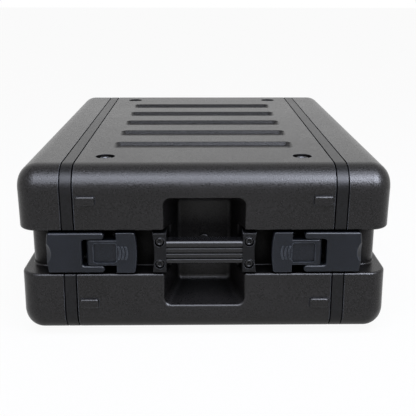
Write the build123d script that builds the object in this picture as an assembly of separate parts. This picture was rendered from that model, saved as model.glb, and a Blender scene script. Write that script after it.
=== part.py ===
from build123d import *
import math
import os

# A 3U rack case: a moulded body open at both ends, two lift-off lids, four draw latches.
# Millimetres. The model is drawn about the middle of the case and lifted onto its feet
# when it is written: X runs from the front lid to the rear lid, Y across the rack's
# width, Z up.

# Case outline
WALL = 4.5
HEIGHT = 204.8
SIDE_WAIST = 284.85
SIDE_FLARE = 5.05
EDGE_RADIUS = 28.0
RIM_RADIUS = 23.0

# Where the moulding is parted, counted from the middle
BODY_END = 150.4
COLLAR_SEAM = 1.7
COLLAR_LENGTH = 12.5
LID_SEAM = 1.6
LID_LENGTH = 51.3
COLLAR_START = BODY_END + COLLAR_SEAM
COLLAR_END = COLLAR_START + COLLAR_LENGTH
LID_START = COLLAR_END + LID_SEAM
LID_END = LID_START + LID_LENGTH

# Tongue of the collar and the seal in the lid's seam
TONGUE = 3.0
TONGUE_IN_BODY = 6.0
TONGUE_IN_LID = 5.0
LID_CLEARANCE = 0.6
SEAL_INSET = 2.4
SEAL_GAP = 0.3

# Latch channel that runs round the case at half height
CHANNEL_HEIGHT = 53.2
CHANNEL_DEPTH = 27.25
CHANNEL_FLOOR = SIDE_WAIST - CHANNEL_DEPTH
NECK_INSET = 9.0
NECK_END = LID_END - NECK_INSET
NECK_RADIUS = 19.0
CHANNEL_LIP = 3.0
CHANNEL_ROOT = 2.0

# Stacking grooves, in the top and the bottom
GROOVE_COUNT = 5
GROOVE_PITCH = 80.4
GROOVE_LENGTH = 230.0
GROOVE_WIDTH = 38.0
GROOVE_DEPTH = 4.0
GROOVE_TAPER = 45.0
GROOVE_CORNER = 9.0
GROOVE_EDGE = 1.5

# Screw wells, feet and rail screws
WELL_FROM_END = 31.8
WELL_FROM_SIDE = 56.85
WELL_X = BODY_END - WELL_FROM_END
WELL_Y = SIDE_WAIST - WELL_FROM_SIDE
WELL_RADIUS = 11.6
WELL_DEPTH = 5.5
FOOT_CLEARANCE = 0.5
FOOT_PROUD = 4.0
FOOT_BORE = 12.5
FOOT_FLOOR = 3.0
FOOT_SCREW_HEAD = 11.0
RAIL_SCREW = 6.0
RAIL_SCREW_HEAD = 15.0
RAIL_SCREW_HEAD_HEIGHT = 3.6
RAIL_SCREW_TAIL = 7.0
NUT_WIDTH = 10.0
NUT_HEIGHT = 5.0
HEAD_CHAMFER = 0.7
HEAD_RIM = 1.0
SOCKET_DEPTH = 3.0

# Bosses beside the seam, outside the ends of the rack rails
BOSS_FROM_END = 2.4
BOSS_LENGTH = 22.5
BOSS_END = BODY_END - BOSS_FROM_END
BOSS_START = BOSS_END - BOSS_LENGTH
BOSS_HEIGHT = 12.0
BOSS_LEVEL = 63.2
BOSS_PROUD = 3.5
BOSS_ROUND = 2.5

# Handle pocket
POCKET_HALF = 47.7
POCKET_RISE = 65.9
POCKET_RADIUS = 9.0
POCKET_BACK_HALF = 33.0
POCKET_BACK_RISE = 52.5
POCKET_BACK_RADIUS = 7.5
POCKET_BACK_ROUND = 6.5
POCKET_RUN_OUT = 12.0
POCKET_DEPTH = 49.85
POCKET_BACK = SIDE_WAIST - POCKET_DEPTH
POCKET_LIP = 3.0
PLUG_LEVEL = 0.0
PLUG_RADIUS = 5.8
PLUG_STEM = 3.0
PLUG_PROUD = 1.6
PLUG_ROUND = 1.0

# Handle: steel core, ribbed grip and two bolted brackets
BRACKET_IN = 44.6
BRACKET_OUT = 60.5
BRACKET_RISE = 24.2
BRACKET_PROUD = 2.65
BRACKET_FACE = SIDE_WAIST + BRACKET_PROUD
BRACKET_WAIST = 1.8
BRACKET_ROUND = 1.2
BRACKET_FLARE = 2.0
BOLT_X = 52.3
BOLT_LEVEL = 13.8
BOLT = 6.0
BOLT_HEAD = 9.6
BOLT_HEAD_HEIGHT = 5.6
BOLT_SOCKET = 5.0
BOLT_POCKET = 11.6
BOLT_POCKET_DEPTH = 6.6
BOLT_TAIL = 9.0
GRIP_RISE = 14.5
GRIP_PROUD = 1.55
GRIP_FRONT = SIDE_WAIST + GRIP_PROUD
GRIP_DEPTH = 19.0
GRIP_ROUND = 4.5
RIB_COUNT = 3
RIB_PITCH = 6.7
RIB_DEPTH = 2.0
RIB_GAP = 2.1
RIB_FIRST = 7.2
RIB_ROUND = 0.7
CORE_RISE = 10.0
CORE_DEPTH = 5.0
CORE_INTO_BRACKET = 4.0
BACKING = 2.0
BACKING_MARGIN = 1.5

# Draw latch: base, lever, arm and the keeper on the lid
LATCH_PROUD = 2.15
LATCH_FACE = SIDE_WAIST + LATCH_PROUD
LATCH_RISE = 24.6
LEVER_PIN_FROM_END = 18.4
PIN_SPACING = 10.5
PIN_DEPTH = 7.85
LEVER_PIN_X = BODY_END - LEVER_PIN_FROM_END
LINK_PIN_X = LEVER_PIN_X - PIN_SPACING
PIN_LEVEL = SIDE_WAIST - PIN_DEPTH
PIN = 4.0
PIN_CLEARANCE = 0.05
PIN_END_INSET = 0.4
LEVER_TAIL_REACH = 6.0
LEVER_NECK = 29.0
LEVER_REACH = 50.5
LEVER_TAIL = LEVER_PIN_X + LEVER_TAIL_REACH
LEVER_SHOULDER = LEVER_PIN_X - LEVER_NECK
LEVER_TIP = LEVER_PIN_X - LEVER_REACH
LEVER_BOW = 2.5
LEVER_NECK_RISE = 15.5
LEVER_WALL = 3.0
LEVER_TAIL_ROUND = 5.8
LEVER_EDGE = 0.8
LEVER_SKIN = 2.5
LEVER_DEPTH = 14.5
HEAD_DEPTH = 10.0
PANEL_FROM_PIN = 2.4
PANEL_LENGTH = 27.0
PANEL_END = LEVER_PIN_X - PANEL_FROM_PIN
PANEL_START = PANEL_END - PANEL_LENGTH
PANEL_RISE = 12.0
PANEL_DEPTH = 2.5
RIDGE_COUNT = 3
RIDGE_FROM_TIP = 8.1
RIDGE_FIRST = LEVER_TIP + RIDGE_FROM_TIP
RIDGE_PITCH = 4.1
RIDGE_RISE = 8.0
RIDGE_WIDTH = 1.5
RIDGE_BOW = 20.0
RIDGE_PROUD = 0.8
ARM_BOW = 2.0
ARM_CORNER = 2.5
ARM_WINDOW_REACH = 11.0
PRONG_REACH = 4.5
ARM_WINDOW = LEVER_PIN_X + ARM_WINDOW_REACH
ARM_TIP = LINK_PIN_X - PRONG_REACH
ARM_SIDE_CLEARANCE = 0.6
ARM_DEPTH = 12.0
ARM_SKIN = 4.0
ARM_WALL = 4.0
ARM_EDGE = 2.4
PRONG_ROUND = 3.8
HOOK_CLEARANCE = 4.9
HOOK_TIP = CHANNEL_FLOOR + HOOK_CLEARANCE
HOOK_WIDTH = 40.0
HOOK_SLOPE = 25.0
HOOK_GAP = 0.4
KEEPER_HEIGHT = 9.4
KEEPER_FOOT = 2.4
KEEPER_FROM_LID = 15.4
KEEPER_PLATE_INSET = 1.8
ARM_OVERHANG = 3.2
KEEPER_TOP = CHANNEL_FLOOR + KEEPER_HEIGHT
KEEPER_FACE = LID_START + KEEPER_FROM_LID
KEEPER_FACE_LEVEL = CHANNEL_FLOOR + KEEPER_FOOT
KEEPER_START = LID_START + KEEPER_PLATE_INSET
ARM_END = KEEPER_FACE + ARM_OVERHANG
KEEPER_RIDGE = 5.0
KEEPER_WIDTH = 36.0
KEEPER_RIDGE_WIDTH = 19.0
KEEPER_PLATE = 2.0
SCOOP_RADIUS = 25.0
SCOOP_DEPTH = 4.0
SCOOP_LENGTH = 16.0
BASE_FROM_END = 3.4
BASE_LENGTH = 47.0
BASE_END = BODY_END - BASE_FROM_END
BASE_START = BASE_END - BASE_LENGTH
BASE_RISE = 19.0
BASE_PLATE = 2.5
EAR_THICK = 3.4
EAR_CLEARANCE = 0.35
HOLE_CLEARANCE = 0.05
HOLE_REACH = 26.0
EAR_RADIUS = 4.0
SMALL_SCREW = 4.0
SMALL_HEAD = 7.4
SMALL_HEAD_HEIGHT = 2.4
SMALL_SCREW_TAIL = 4.0
BASE_SCREW_RISE = 14.0
BASE_SCREW_INSET = 6.0
KEEPER_SCREW_RISE = 14.0
KEEPER_SCREW_INSET = 5.0
KEEPER_SCREW_X = KEEPER_START + KEEPER_SCREW_INSET
KEEPER_SCREW_HEAD = 5.6
KEEPER_SCREW = 3.0
KEEPER_SCREW_TAIL = 1.5

# Rack rails, 3U of the 19-inch pattern
RAIL_FROM_END = 14.4
RAIL_FACE = BODY_END - RAIL_FROM_END
RAIL_DEPTH = 30.0
RAIL_STEEL = 2.0
RAIL_LIP = 7.55
RAIL_HEEL = 11.45
RAIL_TAB = 30.0
RACK_UNITS = 3
RACK_UNIT = 44.45
RACK_HOLES_FROM_SIDE = 52.3
RACK_HOLE_SPACING = 2 * (SIDE_WAIST - RACK_HOLES_FROM_SIDE)
RAIL_OPENING = RACK_HOLE_SPACING - 2 * RAIL_LIP
RAIL_OUTER = RACK_HOLE_SPACING / 2 + RAIL_HEEL
RAIL_TAB_REACH = RAIL_OUTER - RAIL_TAB
RACK_HOLE_STEPS = (6.35, 22.225, 38.1)
RACK_HOLE_RADIUS = 2.5

MID_HEIGHT = FOOT_PROUD + HEIGHT / 2
TOP = HEIGHT / 2
CHANNEL_HALF = CHANNEL_HEIGHT / 2
SIGNS = (-1, 1)
BEYOND = 400.0

os.makedirs("parts", exist_ok=True)


def write(name, *solids):
    """Lift a piece onto the feet and write it as one STEP file."""
    shapes = [Pos(0, 0, MID_HEIGHT) * solid for solid in solids]
    piece = shapes[0] if len(shapes) == 1 else Compound(shapes)
    export_step(piece, f"parts/{name}.step")


def corner(shape, x_sign, y_sign):
    """Copy a shape drawn in the +X +Y quarter to another quarter."""
    if x_sign < 0:
        shape = mirror(shape, about=Plane.YZ)
    if y_sign < 0:
        shape = mirror(shape, about=Plane.XZ)
    return shape


def block(x, y, z):
    """A box between three pairs of limits."""
    size = [high - low for low, high in (x, y, z)]
    centre = [(high + low) / 2 for low, high in (x, y, z)]
    return Pos(*centre) * Box(*size)


# Case outline

def outline(inset):
    """Cross-section of the case without its channel, moved inward."""
    waist = SIDE_WAIST
    wide = SIDE_WAIST + SIDE_FLARE
    top = Line((-wide, TOP), (wide, TOP))
    right = ThreePointArc((wide, TOP), (waist, 0), (wide, -TOP))
    bottom = Line((wide, -TOP), (-wide, -TOP))
    left = ThreePointArc((-wide, -TOP), (-waist, 0), (-wide, TOP))
    face = make_face(Curve() + [top, right, bottom, left])
    face = fillet(face.vertices(), EDGE_RADIUS)
    if inset > 0:
        face = offset(face, -inset, kind=Kind.INTERSECTION)
    return face


def section(inset):
    """Cross-section of the case with the channel in both sides."""
    face = outline(inset)
    for side in SIGNS:
        reach = BEYOND - CHANNEL_FLOOR + inset
        notch = Rectangle(reach, CHANNEL_HEIGHT + 2 * inset)
        face -= Pos(side * (CHANNEL_FLOOR - inset + reach / 2), 0) * notch
    corners = [v for v in face.vertices() if abs(v.Y) < CHANNEL_HALF + inset + 1]
    lips = [v for v in corners if abs(v.X) > CHANNEL_FLOOR + 1]
    face = fillet(lips, CHANNEL_LIP)
    roots = [v for v in face.vertices() if abs(abs(v.X) - CHANNEL_FLOOR + inset) < 0.01]
    return fillet(roots, CHANNEL_ROOT)


def run(face, start, end):
    """Extrude a cross-section between two stations along X."""
    return Pos(start, 0, 0) * extrude(Plane.YZ * face, end - start)


def ring(outer, inner, start, end):
    """A hoop of the case's cross-section between two insets."""
    return run(section(outer), start, end) - run(section(inner), start - 1, end + 1)


# Moulded body

def groove(grow):
    """One stacking groove, cut down from the top face."""
    depth = GROOVE_DEPTH + grow
    mouth = RectangleRounded(
        GROOVE_LENGTH + 2 * grow, GROOVE_WIDTH + 2 * grow, GROOVE_CORNER + grow
    )
    return Pos(0, 0, TOP) * extrude(mouth, -depth, taper=GROOVE_TAPER)


def grooves(grow):
    """All the grooves of the top and the bottom."""
    middle = (GROOVE_COUNT - 1) / 2
    top = [Pos(0, (i - middle) * GROOVE_PITCH, 0) * groove(grow) for i in range(GROOVE_COUNT)]
    return top + [mirror(one, about=Plane.XY) for one in top]


def wells(grow):
    """Round wells for the rail screws above and the feet below."""
    depth = WELL_DEPTH + grow
    well = Pos(WELL_X, WELL_Y, TOP - depth / 2) * Cylinder(WELL_RADIUS + grow, depth)
    four = [corner(well, x, y) for x in SIGNS for y in SIGNS]
    return four + [mirror(one, about=Plane.XY) for one in four]


def pocket(grow):
    """Handle pocket of the +Y side, narrowing to its back wall."""
    depth = SIDE_WAIST + side_rise(POCKET_RISE / 2) - POCKET_BACK
    stretch = (depth + POCKET_RUN_OUT) / depth
    half = POCKET_BACK_HALF + (POCKET_HALF - POCKET_BACK_HALF) * stretch
    rise = POCKET_BACK_RISE + (POCKET_RISE - POCKET_BACK_RISE) * stretch
    mouth = RectangleRounded(2 * (half + grow), 2 * (rise + grow), POCKET_RADIUS + grow)
    back = RectangleRounded(
        2 * (POCKET_BACK_HALF + grow),
        2 * (POCKET_BACK_RISE + grow),
        POCKET_BACK_RADIUS + grow,
    )
    mouth_level = POCKET_BACK + depth + POCKET_RUN_OUT
    facing = Plane(origin=(0, mouth_level, 0), x_dir=(1, 0, 0), z_dir=(0, 1, 0))
    behind = Plane(origin=(0, POCKET_BACK - grow, 0), x_dir=(1, 0, 0), z_dir=(0, 1, 0))
    return loft([behind * back, facing * mouth], ruled=True)


def pockets(grow):
    """The handle pockets of both sides."""
    one = pocket(grow)
    return [one, mirror(one, about=Plane.XZ)]


def boss():
    """One moulded boss in the +X +Y +Z corner of a side."""
    length = BOSS_END - BOSS_START
    depth = WALL / 2 + BOSS_PROUD
    centre_x = (BOSS_START + BOSS_END) / 2
    face = SIDE_WAIST + BOSS_PROUD + side_rise(BOSS_LEVEL)
    solid = Pos(centre_x, face - depth / 2, BOSS_LEVEL) * Box(length, depth, BOSS_HEIGHT)
    solid = fillet(solid.edges().filter_by(Axis.Y), BOSS_ROUND)
    return fillet(solid.faces().sort_by(Axis.Y)[-1].edges(), BOSS_ROUND)


def side_rise(level):
    """How far the hollow side stands out of its waist at a height."""
    return SIDE_FLARE * (level / TOP) ** 2


def body_shell():
    """The rotomoulded tube with everything that is moulded into it."""
    inside = run(section(WALL), -BODY_END - 1, BODY_END + 1)
    inside -= grooves(WALL)
    inside -= wells(WALL)
    inside -= pockets(WALL)
    shell = run(section(0), -BODY_END, BODY_END)
    shell -= pockets(0)
    shell = fillet([e for e in shell.edges() if on_pocket_mouth(e)], POCKET_LIP)
    shell = fillet([e for e in shell.edges() if on_pocket_back(e)], POCKET_BACK_ROUND)
    shell -= grooves(0)
    shell = fillet([e for e in shell.edges() if on_groove_mouth(e)], GROOVE_EDGE)
    shell -= wells(0)
    shell -= inside
    one = boss()
    shell += up_and_down(four_sides(one))
    return shell - shell_holes()


def shell_holes():
    """Holes of the body for the rails, handles, latches and plugs."""
    holes = up_and_down([screw_hole(Pos(WELL_X, WELL_Y, TOP - WELL_DEPTH), RAIL_SCREW)])
    for level in (-BOLT_LEVEL, BOLT_LEVEL):
        holes.append(screw_hole(facing_out(BOLT_X, CHANNEL_FLOOR, level), BOLT))
    holes += [screw_hole(place, SMALL_SCREW) for place in base_screw_places()]
    plug = facing_out(0, POCKET_BACK, PLUG_LEVEL)
    holes.append(screw_hole(plug, 2 * PLUG_STEM))
    return [copy for hole in holes for copy in four_sides(hole)]


def on_groove_mouth(edge):
    """Whether an edge lies where a groove meets the top or the bottom."""
    middle = edge @ 0.5
    on_face = abs(abs(middle.Z) - TOP) < 0.01
    return on_face and abs(middle.X) < GROOVE_LENGTH / 2 + 1


def on_pocket_mouth(edge):
    """Whether an edge lies where a handle pocket meets the side of the case."""
    middle = edge @ 0.5
    return (
        abs(middle.X) < POCKET_HALF + 1
        and abs(middle.Y) > SIDE_WAIST - 0.5
        and abs(middle.Z) < POCKET_RISE + 1
        and abs(middle.Z) > CHANNEL_HALF + CHANNEL_LIP
    )


def on_pocket_back(edge):
    """Whether an edge lies round the back wall of a handle pocket."""
    middle = edge @ 0.5
    return abs(middle.X) < POCKET_BACK_HALF + 1 and abs(abs(middle.Y) - POCKET_BACK) < 0.1


# Collars, seals and lids

def collar():
    """Strip between the two seams, with a tongue into the body and one into the lid."""
    inner = WALL + LID_CLEARANCE + TONGUE
    band = ring(0, inner, COLLAR_START, COLLAR_END)
    band += ring(WALL, inner, COLLAR_START - TONGUE_IN_BODY, COLLAR_START)
    band += ring(WALL + LID_CLEARANCE, inner, COLLAR_END, COLLAR_END + TONGUE_IN_LID)
    return band


def seal():
    """Rubber seal on the edge of the lid."""
    return ring(SEAL_INSET, WALL, COLLAR_END + SEAL_GAP, LID_START)


def capped_form(inset):
    """Closed end of the case, with its rounded rim and the channel's neck."""
    end = LID_END - inset
    form = run(outline(inset), LID_START - 1, end)
    form = fillet(form.faces().sort_by(Axis.X)[-1].edges(), RIM_RADIUS - inset)
    slot = CHANNEL_HEIGHT + 2 * inset
    reach = NECK_END - inset
    neck = Rectangle(2 * reach, 2 * (CHANNEL_FLOOR - inset))
    neck = fillet(neck.vertices(), NECK_RADIUS - inset)
    cut = Pos(BEYOND / 2, 0) * Rectangle(BEYOND, 2 * BEYOND) - neck
    form -= Pos(0, 0, -slot / 2) * extrude(cut, slot)
    form = fillet([e for e in channel_edges(form, slot) if outside_neck(e, inset)], CHANNEL_LIP)
    roots = [e for e in channel_edges(form, slot) if not outside_neck(e, inset)]
    return fillet(roots, CHANNEL_ROOT)


def channel_edges(form, slot):
    """Edges of the channel round a closed end, without those of its open face."""
    levels = [e for e in form.edges() if abs(abs((e @ 0.5).Z) - slot / 2) < 0.01]
    return [e for e in levels if (e @ 0.5).X > LID_START]


def outside_neck(edge, inset):
    """Whether a channel edge lies on the outer surface and not at the neck."""
    middle = edge @ 0.5
    return abs(middle.Y) > CHANNEL_FLOOR - inset + WALL or middle.X > NECK_END - inset + WALL


def lid():
    """Moulded lid of the rear end, open towards the body."""
    space = block((LID_START, BEYOND), (-BEYOND, BEYOND), (-BEYOND, BEYOND))
    shell = (capped_form(0) & space) - capped_form(WALL)
    for place in keeper_screw_places():
        hole = screw_hole(place, KEEPER_SCREW)
        shell -= [hole, mirror(hole, about=Plane.XZ)]
    return shell


# Fasteners, drawn along +Z with the head's underside at the origin

def cap_screw(diameter, head, head_height, length, socket):
    """Round-headed screw with a hexagon socket."""
    top = Pos(0, 0, head_height / 2) * Cylinder(head / 2, head_height)
    top = chamfer(top.edges().sort_by(Axis.Z)[-1], HEAD_CHAMFER)
    hexagon = RegularPolygon(socket / 2, 6, major_radius=False)
    top -= Pos(0, 0, head_height - SOCKET_DEPTH) * extrude(hexagon, head_height)
    shank = Pos(0, 0, -length / 2) * Cylinder(diameter / 2, length)
    return top + shank


def button_screw(diameter, head, head_height, length):
    """Screw with a low conical head."""
    top = Pos(0, 0, head_height / 2) * Cylinder(head / 2, head_height)
    top = chamfer(top.edges().sort_by(Axis.Z)[-1], head_height - HEAD_RIM)
    shank = Pos(0, 0, -length / 2) * Cylinder(diameter / 2, length)
    return top + shank


def nut(diameter):
    """Hexagon nut that stands on the origin."""
    blank = extrude(RegularPolygon(NUT_WIDTH / 2, 6, major_radius=False), NUT_HEIGHT)
    return blank - Cylinder(diameter / 2, 4 * diameter)


def screw_hole(place, diameter):
    """Clearance hole for a screw, through whatever wall stands there."""
    return place * Cylinder(diameter / 2 + HOLE_CLEARANCE, 2 * HOLE_REACH)


def facing_out(x, y, z):
    """Place for a fastener whose head faces +Y."""
    return Pos(x, y, z) * Rot(-90, 0, 0)


def four_sides(shape):
    """Copies of a shape in the four quarters of the plan."""
    return [corner(shape, x, y) for x in SIGNS for y in SIGNS]


def up_and_down(shapes):
    """Shapes together with their reflections in the middle height."""
    return shapes + [mirror(shape, about=Plane.XY) for shape in shapes]


# Rack rails

def rail():
    """Steel rail of the rear +Y corner, with its bent end tabs."""
    ledge = TOP - WELL_DEPTH - WALL
    along = (RAIL_FACE - RAIL_DEPTH, RAIL_FACE)
    tall = (-ledge, ledge)
    bar = block((RAIL_FACE - RAIL_STEEL, RAIL_FACE), (RAIL_OPENING / 2, RAIL_OUTER), tall)
    bar += block(along, (RAIL_OUTER - RAIL_STEEL, RAIL_OUTER), tall)
    tab = block(along, (RAIL_TAB_REACH, RAIL_OUTER), (ledge - RAIL_STEEL, ledge))
    tab -= screw_hole(Pos(WELL_X, WELL_Y, ledge), RAIL_SCREW)
    bar += tab
    bar += mirror(tab, about=Plane.XY)
    half = RACK_UNITS * RACK_UNIT / 2
    for unit in range(RACK_UNITS):
        for step in RACK_HOLE_STEPS:
            level = unit * RACK_UNIT + step - half
            hole = Pos(RAIL_FACE, RACK_HOLE_SPACING / 2, level) * Rot(0, 90, 0)
            bar -= hole * Cylinder(RACK_HOLE_RADIUS, 4 * RAIL_STEEL)
    return bar


def rail_nut():
    """Nut under the rail's upper tab."""
    ledge = TOP - WELL_DEPTH - WALL
    return Pos(WELL_X, WELL_Y, ledge - RAIL_STEEL) * Rot(180, 0, 0) * nut(RAIL_SCREW)


def top_screw():
    """Screw in a well of the top, through the shell and the rail's tab."""
    length = WALL + RAIL_STEEL + RAIL_SCREW_TAIL
    screw = button_screw(RAIL_SCREW, RAIL_SCREW_HEAD, RAIL_SCREW_HEAD_HEIGHT, length)
    return Pos(WELL_X, WELL_Y, TOP - WELL_DEPTH) * screw


def foot():
    """Rubber foot in a well of the bottom, as large as the wells of the top."""
    height = WELL_DEPTH + FOOT_PROUD
    seat = WELL_DEPTH - TOP
    rubber = Pos(0, 0, -height / 2) * Cylinder(WELL_RADIUS - FOOT_CLEARANCE, height)
    rubber = fillet(rubber.edges().sort_by(Axis.Z)[0], FOOT_CLEARANCE * 2)
    rubber -= Pos(0, 0, -FOOT_FLOOR - height) * Cylinder(FOOT_BORE / 2, 2 * height)
    rubber -= Cylinder(RAIL_SCREW / 2 + HOLE_CLEARANCE, 4 * height)
    return Pos(WELL_X, WELL_Y, seat) * rubber


def foot_screw():
    """Screw through a foot, the shell and the rail's lower tab."""
    length = FOOT_FLOOR + WALL + RAIL_STEEL + RAIL_SCREW_TAIL
    screw = button_screw(RAIL_SCREW, FOOT_SCREW_HEAD, RAIL_SCREW_HEAD_HEIGHT, length)
    return Pos(WELL_X, WELL_Y, WELL_DEPTH - TOP - FOOT_FLOOR) * Rot(180, 0, 0) * screw


# Handle

def bracket():
    """Bracket at the +X end of the +Y handle."""
    centre = (BRACKET_OUT + BRACKET_IN) / 2
    face = Pos(centre, 0) * Rectangle(BRACKET_OUT - BRACKET_IN, 2 * BRACKET_RISE)
    chord = BRACKET_RISE - BRACKET_FLARE
    bite = (chord ** 2 + BRACKET_WAIST ** 2) / (2 * BRACKET_WAIST)
    face -= Pos(BRACKET_OUT + bite - BRACKET_WAIST, 0) * Circle(bite)
    depth = BRACKET_FACE - CHANNEL_FLOOR
    solid = on_side(face, BRACKET_FACE, depth)
    solid = fillet(solid.faces().sort_by(Axis.Y)[-1].edges(), BRACKET_ROUND)
    for level in (-BOLT_LEVEL, BOLT_LEVEL):
        mouth = Pos(BOLT_X, level) * Circle(BOLT_POCKET / 2)
        solid -= on_side(mouth, BRACKET_FACE + 1, BOLT_POCKET_DEPTH + 1)
        solid -= screw_hole(facing_out(BOLT_X, CHANNEL_FLOOR, level), BOLT)
    return solid - core()


def on_side(face, level, depth):
    """Extrude a face drawn in X and Z from a Y level towards the case."""
    front = Plane(origin=(0, level, 0), x_dir=(1, 0, 0), z_dir=(0, -1, 0))
    return extrude(front * face, depth)


def core():
    """Flat steel bar through the grip and into both brackets."""
    half = BRACKET_IN + CORE_INTO_BRACKET
    centre = GRIP_FRONT - GRIP_DEPTH / 2
    depth = (centre - CORE_DEPTH / 2, centre + CORE_DEPTH / 2)
    return block((-half, half), depth, (-CORE_RISE, CORE_RISE))


def grip():
    """Rubber grip moulded on the core, with ribs along its face."""
    profile = Pos(GRIP_FRONT - GRIP_DEPTH / 2, 0) * Rectangle(GRIP_DEPTH, 2 * GRIP_RISE)
    profile = fillet(profile.vertices(), GRIP_ROUND)
    for i in range(RIB_COUNT):
        level = GRIP_RISE - RIB_FIRST - RIB_GAP / 2 - i * RIB_PITCH
        profile -= Pos(GRIP_FRONT, level) * Rectangle(2 * RIB_DEPTH, RIB_GAP)
    mouths = [v for v in profile.vertices() if abs(v.X - GRIP_FRONT) < 0.01]
    mouths = [v for v in mouths if abs(v.Y) < GRIP_RISE - GRIP_ROUND - 0.1]
    profile = fillet(mouths, RIB_ROUND)
    bar = run(profile, -BRACKET_IN, BRACKET_IN)
    return bar - core()


def handle_bolt(level):
    """Socket-head bolt of the bracket."""
    seat = BRACKET_FACE - BOLT_POCKET_DEPTH
    length = seat - CHANNEL_FLOOR + WALL + BACKING + BOLT_TAIL
    bolt = cap_screw(BOLT, BOLT_HEAD, BOLT_HEAD_HEIGHT, length, BOLT_SOCKET)
    return facing_out(BOLT_X, seat, level) * bolt


def backing_plate():
    """Steel plate behind a bracket, inside the shell."""
    inner = CHANNEL_FLOOR - WALL
    rise = BRACKET_RISE - BACKING_MARGIN
    wide = (BRACKET_IN + BACKING_MARGIN, BRACKET_OUT)
    plate = block(wide, (inner - BACKING, inner), (-rise, rise))
    for level in (-BOLT_LEVEL, BOLT_LEVEL):
        plate -= screw_hole(facing_out(BOLT_X, inner, level), BOLT)
    return plate


def handle_nut(level):
    """Nut behind the backing plate."""
    seat = CHANNEL_FLOOR - WALL - BACKING
    return Pos(BOLT_X, seat, level) * Rot(90, 0, 0) * nut(BOLT)


def pocket_plug():
    """Small plug in the back wall of the handle pocket."""
    button = Cylinder(PLUG_RADIUS, PLUG_PROUD, align=(Align.CENTER, Align.CENTER, Align.MIN))
    button = fillet(button.edges().sort_by(Axis.Z)[-1], PLUG_ROUND)
    stem = Cylinder(PLUG_STEM, WALL, align=(Align.CENTER, Align.CENTER, Align.MAX))
    return facing_out(0, POCKET_BACK, PLUG_LEVEL) * (button + stem)


# Draw latch of the rear +Y corner, drawn closed

def pin(x, half_length):
    """Upright latch pin."""
    return Pos(x, PIN_LEVEL, 0) * Cylinder(PIN / 2, 2 * half_length)


def pin_hole(x):
    """Hole for a latch pin, right through."""
    return Pos(x, PIN_LEVEL, 0) * Cylinder(PIN / 2 + PIN_CLEARANCE, 4 * LATCH_RISE)


def latch_base():
    """Plate on the channel's floor with two ears inside the lever's neck."""
    top = CHANNEL_FLOOR + BASE_PLATE
    centre = (BASE_START + BASE_END) / 2
    sheet = Pos(centre, 0) * RectangleRounded(BASE_END - BASE_START, 2 * BASE_RISE, BASE_SCREW_INSET)
    base = on_side(sheet, top, BASE_PLATE)
    outer = LEVER_NECK_RISE - LEVER_WALL - EAR_CLEARANCE
    web = Pos(LEVER_PIN_X, (PIN_LEVEL + top) / 2) * Rectangle(2 * EAR_RADIUS, PIN_LEVEL - top)
    ear = Pos(LEVER_PIN_X, PIN_LEVEL) * Circle(EAR_RADIUS) + web
    ear = Pos(0, 0, outer - EAR_THICK) * extrude(ear, EAR_THICK)
    base += ear
    base += mirror(ear, about=Plane.XY)
    base -= Pos(LEVER_PIN_X, PIN_LEVEL, 0) * Cylinder(PIN / 2, 4 * LATCH_RISE)
    for place in base_screw_places():
        base -= screw_hole(place, SMALL_SCREW)
    return base


def base_screw_places():
    """Where the four screws of a latch base stand."""
    ends = (BASE_START + BASE_SCREW_INSET, BASE_END - BASE_SCREW_INSET)
    top = CHANNEL_FLOOR + BASE_PLATE
    return [facing_out(x, top, z) for x in ends for z in (-BASE_SCREW_RISE, BASE_SCREW_RISE)]


def base_screws():
    """Screws of a latch base."""
    length = BASE_PLATE + WALL + SMALL_SCREW_TAIL
    screw = button_screw(SMALL_SCREW, SMALL_HEAD, SMALL_HEAD_HEIGHT, length)
    return [place * screw for place in base_screw_places()]


def lever():
    """Moulded lever: hollow neck, T-shaped head, sunk panel and finger ridges."""
    neck_length = LEVER_TAIL - LEVER_SHOULDER + LEVER_WALL
    neck_face = Pos(LEVER_TAIL - neck_length / 2, 0) * Rectangle(neck_length, 2 * LEVER_NECK_RISE)
    neck = on_side(neck_face, LATCH_FACE, LEVER_DEPTH)
    tail = [e for e in neck.edges().filter_by(Axis.Z) if (e @ 0.5).X > LEVER_TAIL - 0.1]
    neck = fillet(tail, LEVER_TAIL_ROUND)
    head_face = bowed(LEVER_SHOULDER, LEVER_TIP - LEVER_BOW, LEVER_BOW)
    head_face = fillet(head_face.vertices().group_by(Axis.X)[0], LEVER_WALL)
    lever_body = neck + on_side(head_face, LATCH_FACE, HEAD_DEPTH)
    rims = lever_body.faces().sort_by(Axis.Y)[-1].edges()
    before_tail = LEVER_TAIL - LEVER_TAIL_ROUND + 1
    lever_body = fillet([e for e in rims if (e @ 0.5).X < before_tail], LEVER_EDGE)
    lever_body -= lever_hollow()
    lever_body -= lever_panel()
    lever_body += lever_ridges()
    lever_body -= pin_hole(LEVER_PIN_X)
    lever_body -= pin_hole(LINK_PIN_X)
    return lever_body


def lever_hollow():
    """Space under the lever's neck and head."""
    floor = LATCH_FACE - PANEL_DEPTH - LEVER_SKIN
    neck = block(
        (LEVER_SHOULDER - LEVER_WALL, LEVER_TAIL + LEVER_WALL),
        (LATCH_FACE - LEVER_DEPTH - 1, floor),
        (LEVER_WALL - LEVER_NECK_RISE, LEVER_NECK_RISE - LEVER_WALL),
    )
    neck = neck - block(
        (LEVER_TAIL - LEVER_WALL, LEVER_TAIL + 2 * LEVER_WALL),
        (PIN_LEVEL + EAR_RADIUS + 1, LATCH_FACE),
        (-LEVER_NECK_RISE, LEVER_NECK_RISE),
    )
    head = block(
        (LEVER_TIP + LEVER_WALL, LEVER_SHOULDER - LEVER_WALL),
        (LATCH_FACE - HEAD_DEPTH - 1, floor),
        (LEVER_WALL - LATCH_RISE, LATCH_RISE - LEVER_WALL),
    )
    return neck + head


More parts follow.
